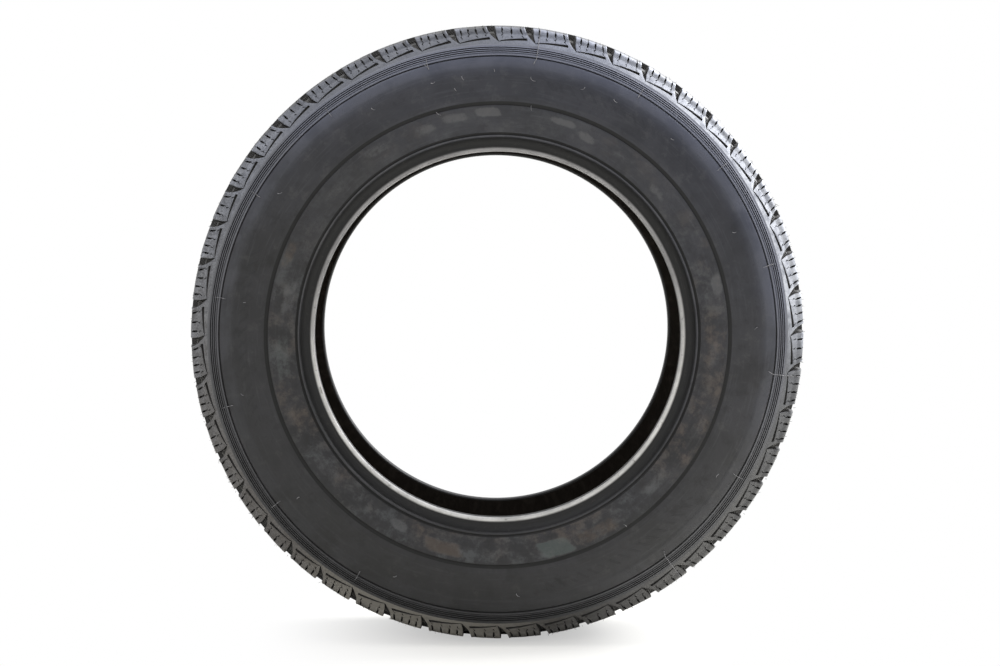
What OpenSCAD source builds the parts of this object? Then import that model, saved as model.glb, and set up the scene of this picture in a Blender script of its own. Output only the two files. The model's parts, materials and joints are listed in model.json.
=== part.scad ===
// Worn passenger car tyre, standing upright off its rim.
// One moulded ring: a crown with a blocked tread, two sidewalls and two beads.
// The origin is the wheel's centre and the axle lies along Y. The front is the -Y side.

/* [Overall] */
// Outer diameter across the middle of the tread
outer_d = 647; // [600:1:760]
// Width across the fullest part of the two sidewalls
section_w = 209; // [190:1:250]
// Width of the running surface, shoulder to shoulder
tread_w = 156; // [134:1:180]
// Depth of the flat spot pressed into the bottom of the tread
flat_depth = 2; // [0.5:0.1:4]

/* [Bead] */
// Diameter of the straight seat that grips the rim
bead_d = 379; // [330:1:410]
// Distance between the outer faces of the two beads
bead_span = 165; // [150:1:175]
// Length of the straight seat along the axle
seat_len = 10; // [6:0.5:16]
// Rounding of the bead's outer corner
heel_r = 4; // [2:0.5:6]
// Rounding of the bead's inner corner
toe_r = 2; // [1:0.5:4]
// Height of the hollow that the rim's flange fits, above the seat
flange_h = 15; // [12:0.5:18]

/* [Walls] */
// Thickness at the middle of the crown, tread included
crown_t = 14.5; // [12:0.5:20]
// Thickness of the sidewall where it is fullest
side_t = 6.5; // [4:0.5:10]

/* [Sidewall relief] */
// Height of the plain band above the rim flange
band_h = 30; // [12:1:34]
// Depth of the grooves at the foot and the head of that band
band_groove_depth = 1; // [0.4:0.1:1.5]
// Width of those two grooves
band_groove_w = 2.2; // [1:0.1:3]
// Number of fine ribs in the ring under the shoulder
rib_count = 4; // [2:1:6]
// Distance between the fine ribs
rib_pitch = 2; // [1.6:0.1:3]
// Height of the fine ribs
rib_h = 0.6; // [0.3:0.1:1]

/* [Tread] */
// Depth of tread that is left
tread_depth = 6.5; // [3:0.5:8]
// Radius of the tread's curve from shoulder to shoulder
crown_curve_r = 440; // [350:10:1200]
// Size of the rounded corner between the tread and the sidewall
corner_r = 7; // [4:0.5:10]
// Width of the two main grooves
main_groove_w = 8; // [5:0.5:12]
// Distance from the middle of the tread to each main groove
main_groove_at = 36; // [30:1:42]
// Width of the groove round the middle of the tread
centre_groove_w = 5; // [3:0.5:8]
// Width of the leaning grooves between the middle and the main grooves
lean_groove_w = 5; // [3:0.5:7]
// Angle at which those grooves lean from the axle's direction
lean = 36; // [15:1:45]

/* [Blocks] */
// How many times the run of shoulder blocks is repeated round the tyre
run_repeats = 8; // [6:1:9]
// Relative lengths of the blocks in one run
block_run = [8.1, 7.55, 7.15, 7.5, 7.55, 7.15];
// Angle from the top to the first shoulder groove, clockwise from the front
first_groove = 5.8; // [0:0.1:45]
// Width of each shoulder groove at the edge of the tread
notch_w = 8.6; // [6:0.2:11]
// Distance from the top of the tread down to the point of each shoulder groove
notch_drop = 22.5; // [20:0.5:28]
// Distance that each shoulder groove swings clockwise on its way down
notch_swing = 8.8; // [0:0.2:11]
// Length of plain rubber left between one block's wedge slot and the next
slot_gap = 10; // [8:0.5:20]
// Height of the wedge slot at its wide end
slot_h = 2.8; // [1:0.1:3]
// Depth of the wedge slot
slot_depth = 1.8; // [0.6:0.1:3]

/* [Hidden] */
$fn = 192;

rubber = "#3c3c3e";
outer_r = outer_d / 2;
bead_r = bead_d / 2;
half_w = section_w / 2;
half_tread = tread_w / 2;
heel_z = bead_span / 2;
toe_z = heel_z - heel_r - seat_len - toe_r;

// The sidewall is fullest a little under half way from the bead to the tread
full_share = 0.45;
full_r = bead_r + full_share * (outer_r - bead_r);
flange_r = bead_r + flange_h;
// The upper edge of the flange hollow stands this far outside the bead's face
flange_step = 7;
// The hollow ends this far above the rounding of the heel
hollow_clear = 2;
// The band's lower groove lies this far above the hollow, and its upper one at least this far
// under the fullest point
band_foot_gap = 3;
band_top_gap = 4;
band_foot_r = flange_r + band_foot_gap;
band_top_r = min(band_foot_r + band_h, full_r - band_top_gap);
// The band's own points keep this share of its height clear of either groove
band_inset = 0.2;
// How sharply the sidewall turns towards the shoulder, towards the bead and in the hollow
shoulder_turn = 2.2;
bead_turn = 2;
hollow_turn = 2.2;

// The rounded corner starts on the tread at edge_r and ends on the sidewall at wall_top_r
edge_r = crown_r(half_tread - corner_r / 2);
wall_top_r = edge_r - corner_r;
wall_top_z = half_tread + corner_r / 2;
notch_tip_r = outer_r - notch_drop;
// The ribs start this far under the points of the shoulder grooves
rib_gap = 4;
rib_top_r = notch_tip_r - rib_gap;
rib_foot_r = rib_top_r - rib_count * rib_pitch;

// The inside face runs parallel to the crown and swells to meet the beads
liner_r = outer_r - crown_t;
liner_drop = 3;
liner_edge_r = liner_r - liner_drop;
liner_edge_share = 0.68;
liner_edge_z = liner_edge_share * half_tread;
liner_full_z = half_w - side_t;
liner_shoulder_turn = 2.4;
liner_bead_turn = 1.5;

// Each block's start and span, in degrees clockwise from the top
run_angle = 360 / run_repeats;
mean_span = run_angle / len(block_run);
unit = run_angle / sum_to(block_run, len(block_run));
blocks = [for (k = [0:run_repeats - 1]) for (i = [0:len(block_run) - 1])
    [first_groove + k * run_angle + unit * sum_to(block_run, i), unit * block_run[i]]];

// Cutters reach this far outside the rubber
past = 12;
// A fine rib rises over the first part of its pitch and has come down by the second
rib_peak = 0.3;
rib_end = 0.6;
// The two walls of a groove round the tread lean this far inwards on the way down
groove_taper = 1;
// A leaning groove is this much shallower than the main grooves
lean_groove_rise = 0.5;
// The shoulder groove's floor turns down the sidewall this far in from the tread's edge, and its
// cutter starts this far above the rounded corner
notch_turn_inset = 10;
notch_over = 2;
// Cutters that end inside another cut run on by this much
overlap = 0.5;
// How soon a shoulder groove swings on its way down, and how fast it narrows
notch_swing_turn = 1.6;
notch_narrowing = 0.8;
// The wedge slot starts this far above the shoulder groove's point, this high, and climbs on
slot_lift = 0.2;
slot_thin_h = 0.4;
slot_climb = 0.6;

function mix(a, b, t) = a + (b - a) * t;
function sum_to(list, n) = n == 0 ? 0 : list[n - 1] + sum_to(list, n - 1);

// Radius of the running surface at a distance z from its middle
function crown_r(z) = outer_r - z * z / (2 * crown_curve_r);

// Distance of the sidewall's outer face from the middle plane at radius r
function wall_z(r) = r > full_r
    ? half_w - (half_w - wall_top_z) * pow((r - full_r) / (wall_top_r - full_r), shoulder_turn)
    : half_w - (half_w - heel_z - flange_step) * pow((full_r - r) / (full_r - flange_r), bead_turn);

// The same for the inside face
function liner_z(r) = r > full_r
    ? liner_full_z - (liner_full_z - liner_edge_z)
        * pow((r - full_r) / (liner_edge_r - full_r), liner_shoulder_turn)
    : liner_full_z - (liner_full_z - toe_z)
        * pow((full_r - r) / (full_r - bead_r - toe_r), liner_bead_turn);

// Points along the outer face from one radius to another
function wall_run(from_r, to_r, n) =
    [for (i = [0:n]) let (r = mix(from_r, to_r, i / n)) [r, wall_z(r)]];

// Arc about (r, z) in the section plane; angle 0 points away from the axle
function arc(r, z, size, from_a, to_a, n) =
    [for (i = [0:n]) let (a = mix(from_a, to_a, i / n)) [r + size * cos(a), z + size * sin(a)]];

// Groove round the tread: its near edge, its floor and its far edge
function tread_groove(z, w) = let (floor_r = crown_r(z) - tread_depth) [
    [crown_r(z - w / 2), z - w / 2],
    [floor_r, z - w / 2 + groove_taper],
    [floor_r, z + w / 2 - groove_taper],
    [crown_r(z + w / 2), z + w / 2]
];

// Groove round the sidewall
function wall_groove(r) = let (half = band_groove_w / 2) [
    [r + half, wall_z(r + half)],
    [r, wall_z(r) - band_groove_depth],
    [r - half, wall_z(r - half)]
];

// One fine rib round the sidewall
function fine_rib(r) = [
    [r, wall_z(r)],
    [r - rib_peak * rib_pitch, wall_z(r) + rib_h],
    [r - rib_end * rib_pitch, wall_z(r)]
];

// Half of the section, from the middle of the crown over the sidewall to the liner
tread_line = concat(
    [for (p = tread_groove(0, centre_groove_w)) if (p[1] > 0) p],
    tread_groove(main_groove_at, main_groove_w),
    [let (z = mix(main_groove_at, half_tread, 0.6)) [crown_r(z), z]]
);
wall_line = concat(
    arc(wall_top_r, wall_top_z - corner_r, corner_r, 0, 90, 4),
    [for (i = [1:2]) let (r = mix(wall_top_r, rib_top_r, i / 3)) [r, wall_z(r)]],
    [for (i = [0:rib_count - 1]) each fine_rib(rib_top_r - i * rib_pitch)],
    wall_run(rib_foot_r, full_r, 5),
    wall_groove(band_top_r),
    wall_run(mix(band_top_r, band_foot_r, band_inset), mix(band_foot_r, band_top_r, band_inset), 3),
    wall_groove(band_foot_r)
);
hollow_line = [for (i = [0:3]) let (t = i / 3) [
    mix(flange_r, bead_r + heel_r + hollow_clear, t),
    heel_z + (wall_z(flange_r) - heel_z) * pow(1 - t, hollow_turn)
]];
bead_line = concat(
    arc(bead_r + heel_r, heel_z - heel_r, heel_r, 90, 180, 3),
    arc(bead_r + toe_r, toe_z + toe_r, toe_r, 180, 270, 2)
);
liner_line = concat(
    [for (i = [1:5]) let (r = mix(bead_r + toe_r, full_r, i / 5)) [r, liner_z(r)]],
    [for (i = [1:6]) let (r = mix(full_r, liner_edge_r, i / 6)) [r, liner_z(r)]],
    [[mix(liner_edge_r, liner_r, 0.75), liner_edge_z / 2]]
);
half_line = concat(tread_line, wall_line, hollow_line, bead_line, liner_line);
mirrored_line = [for (i = [len(half_line) - 1:-1:0]) [half_line[i][0], -half_line[i][1]]];

module section() {
    polygon(concat(half_line, mirrored_line));
}

// Places a cutter at an angle clockwise from the top, with X outwards and Z along the axle
module at_angle(angle) {
    rotate([0, 0, 90 - angle])
        children();
}

// Shoulder groove: a fin that narrows and swings clockwise as it runs down to its point
module notch() {
    height = wall_top_r + notch_over - notch_tip_r;
    fin_steps = 3;
    side = [for (i = [0:fin_steps]) let (t = i / fin_steps)
        [
            notch_tip_r + height * t,
            notch_swing * pow(1 - t, notch_swing_turn),
            notch_w / 2 * pow(t, notch_narrowing)
        ]];
    intersection() {
        linear_extrude(half_w + past)
            polygon(concat(
                [for (p = side) [p[0], -p[1] - p[2]]],
                [[outer_r + past, -notch_w / 2], [outer_r + past, notch_w / 2]],
                [for (i = [fin_steps:-1:1]) [side[i][0], -side[i][1] + side[i][2]]]
            ));
        rotate([90, 0, 0])
            linear_extrude(4 * (notch_w + notch_swing), center = true)
                polygon([
                    [crown_r(main_groove_at) - tread_depth, main_groove_at],
                    [edge_r - tread_depth, wall_top_z - notch_turn_inset],
                    [notch_tip_r - overlap, wall_z(notch_tip_r)],
                    [notch_tip_r - overlap, half_w + past],
                    [outer_r + past, half_w + past],
                    [outer_r + past, main_groove_at]
                ]);
    }
}

// Wedge slot at the foot of a block: thin where the last groove ends, and rising clockwise
// to its wide end
module slot(span) {
    len = span / 360 * 2 * PI * notch_tip_r - slot_gap;
    translate([notch_tip_r, -notch_swing, wall_z(notch_tip_r) - slot_depth])
        linear_extrude(past)
            polygon([
                [slot_lift + slot_thin_h, 0],
                [slot_lift, 0],
                [slot_lift + slot_climb, -len],
                [slot_lift + slot_climb + slot_h, -len + slot_h / 2]
            ]);
}

// Leaning groove from the middle of the tread to the main groove
module lean_groove() {
    reach = (main_groove_at + 2 * overlap) / cos(lean);
    translate([crown_r(main_groove_at / 2) - tread_depth + lean_groove_rise, 0, main_groove_at / 2])
        rotate([lean, 0, 0])
            translate([0, -lean_groove_w / 2, -reach / 2])
                cube([tread_depth + past, lean_groove_w, reach]);
}

// Every cut on one side of the tread's middle
module half_pattern() {
    for (block = blocks)
        at_angle(block[0]) {
            notch();
            slot(block[1]);
            lean_groove();
        }
}

module flat_spot() {
    translate([-outer_r, -outer_r - past, -half_w])
        cube([outer_d, past + flat_depth, section_w]);
}

module tyre() {
    color(rubber)
        rotate([90, 0, 0])
            difference() {
                rotate_extrude()
                    section();
                half_pattern();
                mirror([0, 0, 1])
                    rotate([0, 0, mean_span / 2])
                        half_pattern();
                flat_spot();
            }
}

tyre();
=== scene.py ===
"""Looks of an old worn car tyre, standing upright off its rim.

Shapes are worked out in millimetres, in the tyre's own coordinates: the angle t runs clockwise
from the top as seen from the front, r is the distance from the axle, and w is the distance from
the middle of the tread. The front half lies at -Y and the back half at +Y.
"""

import functools
import math

import bpy
import numpy as np
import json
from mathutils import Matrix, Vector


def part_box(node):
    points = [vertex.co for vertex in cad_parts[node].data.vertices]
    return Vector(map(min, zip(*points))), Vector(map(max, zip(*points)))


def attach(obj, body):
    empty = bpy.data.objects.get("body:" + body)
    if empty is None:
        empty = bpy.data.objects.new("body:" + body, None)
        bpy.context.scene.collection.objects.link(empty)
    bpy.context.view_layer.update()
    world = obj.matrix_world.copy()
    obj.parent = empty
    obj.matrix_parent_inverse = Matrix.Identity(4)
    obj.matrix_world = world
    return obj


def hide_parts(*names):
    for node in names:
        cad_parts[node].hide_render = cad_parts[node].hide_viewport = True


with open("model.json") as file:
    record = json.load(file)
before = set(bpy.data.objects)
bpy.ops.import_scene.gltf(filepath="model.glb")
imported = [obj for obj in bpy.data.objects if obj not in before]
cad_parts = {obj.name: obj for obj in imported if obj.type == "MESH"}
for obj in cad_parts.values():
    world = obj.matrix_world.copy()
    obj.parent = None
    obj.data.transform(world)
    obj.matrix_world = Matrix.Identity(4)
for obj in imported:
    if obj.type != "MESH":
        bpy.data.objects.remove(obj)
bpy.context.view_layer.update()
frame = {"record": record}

MM = 0.001
TAU = 2 * math.pi
rng = np.random.default_rng(1987)

# ---------------------------------------------------------------- sizes from the frame, in mm
low, high = (np.array(corner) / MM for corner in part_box("tyre"))
OUTER_R = high[2]
FULL_W = high[1]
FLAT_Z = low[2]
BEAD_R = frame["record"]["mounts"][0]["dims"]["r_mm"]

# The section, as the solid has it
HALF_TREAD = 78.0
HEEL_W = 82.5
HEEL_R = 4.0
TOE_R = 2.0
TOE_W = 66.5
CROWN_CURVE_R = 440.0
CORNER_R = 7.0
TREAD_DEPTH = 6.5
MAIN_GROOVE_W = 8.0
MAIN_GROOVE_AT = 36.0
CENTRE_GROOVE_W = 5.0
LEAN = math.tan(math.radians(36))
LEAN_GROOVE_W = 5.0
NOTCH_W = 8.6
NOTCH_DROP = 22.5
NOTCH_SWING = 8.8
# The wedge slot under a block, as wear has left it: taller and longer than moulded. It grows to its
# full height and depth at its end, a place along the block from 0 to 1, and climbs as it goes.
SLOT_START_H = 0.9
SLOT_H = 3.4
SLOT_START_DEPTH = 0.5
SLOT_DEPTH = 1.8
SLOT_END = 0.92
SLOT_RISE = 4.2
SIPE_HALF_W = 0.12
SIPE_DEPTH = 4.0
ZIGZAG_PITCH = 5.0
# How unevenly the slices between the sipes are worn, and how much further one end of a block is
SLICE_WEAR = 0.14
HEEL_TOE_WEAR = 0.45
RIB_COUNT = 4
RIB_PITCH = 2.0
CROWN_T = 14.5
SIDE_T = 6.5

# Blocks: eight runs of six, their lengths in degrees and their sipes
BLOCK_RUN = np.radians([8.1, 7.55, 7.15, 7.5, 7.55, 7.15])
SIPE_RUN = [4, 4, 3, 4, 4, 3]
RUNS = 8
FIRST_GROOVE = math.radians(5.8)
MEAN_SPAN = TAU / (RUNS * len(BLOCK_RUN))

# The halves by their side: what their pieces are called, and how far their blocks are turned
WORD = {-1: "front", 1: "back"}
SHIFT = {-1: 0.0, 1: -MEAN_SPAN / 2}


def crown_r(w):
    """Radius of the running surface: the outer radius less a shallow arc's drop."""
    return OUTER_R - w * w / (2 * CROWN_CURVE_R)


FULL_R = BEAD_R + 0.45 * (OUTER_R - BEAD_R)
FLANGE_R = BEAD_R + 15
BAND_FOOT_R = FLANGE_R + 3
BAND_TOP_R = BAND_FOOT_R + 30
EDGE_R = crown_r(HALF_TREAD - CORNER_R / 2)
WALL_TOP_R = EDGE_R - CORNER_R
WALL_TOP_W = HALF_TREAD + CORNER_R / 2
NOTCH_TIP_R = OUTER_R - NOTCH_DROP
RIB_TOP_R = NOTCH_TIP_R - 4
RIB_FOOT_R = RIB_TOP_R - RIB_COUNT * RIB_PITCH
LINER_R = OUTER_R - CROWN_T
LINER_EDGE_R = LINER_R - 3
LINER_EDGE_W = 0.68 * HALF_TREAD
LINER_FULL_W = FULL_W - SIDE_T
LINER_SPLIT_W = 0.98 * MAIN_GROOVE_AT
SPLIT_R = NOTCH_TIP_R - 2.2
# A shallow step down to the zone where a sidewall carries its lettering, and plain bars in it
STEP_R = 274.0
STEP_DEPTH = 0.35
BARS_FOOT_R = 256.5
BARS_TOP_R = 265.5


def wall_w(r):
    """Outer face of the sidewall: power curves that leave the fullest point up and down."""
    up = np.clip((r - FULL_R) / (WALL_TOP_R - FULL_R), 0, None) ** 2.2
    down = np.clip((FULL_R - r) / (FULL_R - FLANGE_R), 0, None) ** 2
    return FULL_W - (FULL_W - WALL_TOP_W) * up - (FULL_W - HEEL_W - 7) * down


def liner_w(r):
    """Inner face: the same form, parallel at the crown and swelling towards the beads."""
    up = np.clip((r - FULL_R) / (LINER_EDGE_R - FULL_R), 0, 1) ** 2.4
    down = np.clip((FULL_R - r) / (FULL_R - BEAD_R - TOE_R), 0, 1) ** 1.5
    return LINER_FULL_W - (LINER_FULL_W - LINER_EDGE_W) * up - (LINER_FULL_W - TOE_W) * down


def arc(r, w, size, start, end, n):
    """Points on a circle in the section plane; angle 0 points away from the axle."""
    a = np.radians(np.linspace(start, end, n))
    return np.stack([r + size * np.cos(a), w + size * np.sin(a)], 1)


def smooth(x, low_x, high_x):
    """0 below low_x, 1 above high_x, and a cubic ease between."""
    x = np.clip((x - low_x) / (high_x - low_x), 0, 1)
    return x * x * (3 - 2 * x)


class Outline:
    """A line in the section plane, looked up by its arc length: place and outward normal."""

    def __init__(self, points):
        self.p = np.asarray(points, float)
        step = np.hypot(*np.diff(self.p, axis=0).T)
        self.v = np.concatenate([[0], np.cumsum(step)])
        along = np.gradient(self.p, self.v, axis=0)
        along /= np.hypot(along[:, 0], along[:, 1])[:, None]
        self.n = np.stack([along[:, 1], -along[:, 0]], 1)

    def at(self, v):
        return [np.interp(v, self.v, col) for col in (*self.p.T, *self.n.T)]


# ---------------------------------------------------------------- meshes
SHARP_ANGLE = math.radians(35)


def ring_mesh(name, t, r, w, side, materials, row_material, **marks):
    """A closed ring from grids of angle t, radius r and distance w from the middle.

    x = r sin t, z = r cos t and y = side * w, with side -1 in front and +1 behind. Rows run
    round the section and columns round the tyre, and both close on themselves. Each of the marks
    is a grid of values that the materials read; "across" is the distance in metres along the
    section.
    """
    rows, cols = t.shape
    co = np.stack([r * np.sin(t), side * w, r * np.cos(t)], -1).reshape(-1, 3) * MM
    i, j = np.meshgrid(np.arange(rows), np.arange(cols), indexing="ij")
    i1, j1 = (i + 1) % rows, (j + 1) % cols
    quads = np.stack([i * cols + j, i1 * cols + j, i1 * cols + j1, i * cols + j1], -1)
    if side > 0:
        quads = quads[..., ::-1]
    mesh = quad_mesh(name, co, quads.reshape(-1, 4), np.repeat(row_material, cols))
    mesh.set_sharp_from_angle(angle=SHARP_ANGLE)
    step = np.hypot(np.diff(r, axis=0), np.diff(w, axis=0)).mean(1)
    marks["across"] = np.concatenate([[0], np.cumsum(step)])[:, None] * MM + 0 * t
    for mark, grid in marks.items():
        layer = mesh.attributes.new(mark, "FLOAT", "POINT")
        layer.data.foreach_set("value", np.broadcast_to(grid, t.shape).astype(np.float32).ravel())
    add_piece(name, mesh, materials)


def quad_mesh(name, co, quads, material_index):
    """A smooth mesh of quads from points in metres."""
    mesh = bpy.data.meshes.new(name)
    mesh.vertices.add(len(co))
    mesh.vertices.foreach_set("co", co.ravel())
    mesh.loops.add(quads.size)
    mesh.loops.foreach_set("vertex_index", quads.ravel())
    mesh.polygons.add(len(quads))
    mesh.polygons.foreach_set("loop_start", np.arange(0, quads.size, 4))
    mesh.polygons.foreach_set("material_index", material_index)
    mesh.update(calc_edges=True)
    mesh.shade_smooth()
    return mesh


def add_piece(name, mesh, materials):
    """Puts a mesh in the scene as one of the pieces that stand in for the solid tyre."""
    for material in materials:
        mesh.materials.append(material)
    piece = bpy.data.objects.new(name, mesh)
    bpy.context.scene.collection.objects.link(piece)
    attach(piece, "root")
    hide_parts("tyre")


def strands(name, path, up, thick, sides, material, flat=1.0):
    """Thin tubes along paths, an array of (strands, points, 3) in mm.

    Round each point p runs a ring p + a cos(k) u + a flat sin(k) n, where n is the direction up
    made square to the path, u is square to both, and a is the half thickness there. Caps close
    the ends.
    """
    count, points = path.shape[:2]
    along = np.gradient(path, axis=1)
    along /= np.linalg.norm(along, axis=2, keepdims=True)
    u = np.cross(along, up)
    u /= np.linalg.norm(u, axis=2, keepdims=True)
    n = np.cross(u, along)
    k = np.arange(sides) * TAU / sides
    ring = np.cos(k)[:, None] * u[:, :, None] + flat * np.sin(k)[:, None] * n[:, :, None]
    co = path[:, :, None] + ring * np.broadcast_to(thick, (count, points))[:, :, None, None]
    h, i, j = np.meshgrid(np.arange(count), np.arange(points - 1), np.arange(sides), indexing="ij")
    j1 = (j + 1) % sides
    base = h * points * sides
    quads = np.stack([i * sides + j, (i + 1) * sides + j, (i + 1) * sides + j1, i * sides + j1], -1)
    faces = (quads + base[..., None]).reshape(-1, 4).tolist()
    first = np.arange(count)[:, None] * points * sides
    faces += (first + np.arange(sides)).tolist()
    faces += (first + (points - 1) * sides + np.arange(sides)[::-1]).tolist()
    mesh = bpy.data.meshes.new(name)
    mesh.from_pydata((co.reshape(-1, 3) * MM).tolist(), [], faces)
    mesh.shade_smooth()
    add_piece(name, mesh, [material])


def press_flat(t, r, land_r):
    """Lifts what lies below the flat spot: the whole depth of the tread rises by as much as the
    running surface above it is too low."""
    lift = np.clip(FLAT_Z - land_r * np.cos(t), 0, None)
    x, z = r * np.sin(t), r * np.cos(t) + lift
    turn = (np.arctan2(x, z) - t + math.pi) % TAU - math.pi
    return t + turn, np.hypot(x, z)


# ---------------------------------------------------------------- tread
def block_table(shift):
    """Start, span and number of sipes of each block, one after another round the tyre."""
    spans = np.tile(BLOCK_RUN, RUNS)
    starts = FIRST_GROOVE + shift + np.concatenate([[0], np.cumsum(spans)[:-1]])
    return starts, spans, np.tile(SIPE_RUN, RUNS)


def tread_columns(shift, slot_columns):
    """The grid's columns, groove by groove and block by block.

    Each column holds: block start and span, multiple of the groove's half width, offset in mm,
    part of the groove's depth, place along the block, multiple of the sipe's half width, part of
    the sipe's depth, how far it follows the sipe's zigzag, the slice's wear in mm, and how low the
    sipe opens.
    """
    lip, foot = 0.9, 0.5
    rows = []
    for start, span, sipes in zip(*block_table(shift)):
        for gw, off, depth in ((-1, -lip, 0), (-1, 0, 0.06), (-1, foot, 1), (0, 0, 1),
                               (1, -foot, 1), (1, 0, 0.06), (1, lip, 0)):
            rows.append((start, span, gw, off, depth, 0, 0, 0, 0, 0, 0))
        cuts = (np.arange(sipes) + 0.75) / (sipes + 0.25)
        wear = np.abs(rng.normal(0, SLICE_WEAR, sipes + 1))
        drop = rng.uniform(-1, 1, sipes)
        fractions = []
        for k, cut in enumerate(cuts):
            for sw, off, depth in ((-1, -0.3, 0), (-1, 0, 1), (1, 0, 1), (1, 0.3, 0)):
                place = cut + 1e-5 * len(fractions)
                fractions.append((place, sw, off, depth, 1, wear[k + (sw > 0)], drop[k]))
        edges = np.concatenate([[0.0], cuts, [1.0]])
        middles = (edges[1:] + edges[:-1]) / 2
        for k, f in enumerate(middles):
            fractions.append((f, 0, 0.0, 0, 1 if 0 < k < sipes else 0.5, wear[k], 0))
        if slot_columns:
            fractions.append((0.03, 0, 0.0, 0, 0.2, wear[0], 0))
            for f in (SLOT_END - 0.004, SLOT_END + 0.012):
                fractions.append((f, 0, 0.0, 0, 1, wear[-2], 0))
        for f, sw, off, depth, zig, lift, lower in sorted(fractions):
            rows.append((start, span, 1, off, 0, f, sw, depth, zig, lift, lower))
    return np.array(rows, float).T[:, None, :]


def tread_grid(columns, v, half_groove, centre, depth, sipe_half, sipe_depth, zigzag, under):
    """Angles and depths of a tread grid: every column follows the groove's swing, and within a
    block it is spread between the groove edges on either side."""
    start, span, gw, off, gd, f, sw, sd, zig = columns[:9]
    narrow = np.clip(half_groove / 1.5, 0.06, 1)
    edge = half_groove / OUTER_R
    offset = np.where(f > 0, off, off * narrow)
    relax = 0.7 * centre * np.sin(np.pi * f) * under
    t = start + centre + gw * edge + f * (span - 2 * edge) - relax
    t = t + (offset + sw * sipe_half + zig * zigzag) / OUTER_R
    d = np.maximum(gd * depth, sd * sipe_depth)
    return t, d


def zigzag_wave(v):
    """A triangle wave between -1 and 1 along the section, which the sipes follow."""
    return np.abs(((v / ZIGZAG_PITCH) % 1) - 0.5) * 4 - 1


def tread_marks(columns, d, low, inner_rows):
    """What the tread's material reads: mm below the surface, how worn a slice is, how far down
    the side a point is. The liner's rows get 0."""
    marks = {"deep": d, "tone": columns[9] + 0 * d, "low": low + 0 * d}
    return {k: np.concatenate([g, np.zeros((inner_rows, d.shape[1]))]) for k, g in marks.items()}


def close_inside(t, r, w, inner_r, inner_w):
    """Adds the liner's rows, turning evenly from the last row's angles to those of the first."""
    blend = np.linspace(1, 0, len(inner_r))[:, None]
    t = np.concatenate([t, t[-1] * blend + t[0] * (1 - blend)])
    r = np.concatenate([r, np.repeat(inner_r[:, None], r.shape[1], 1)])
    w = np.concatenate([w, np.repeat(inner_w[:, None], w.shape[1], 1)])
    return t, r, w


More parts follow.
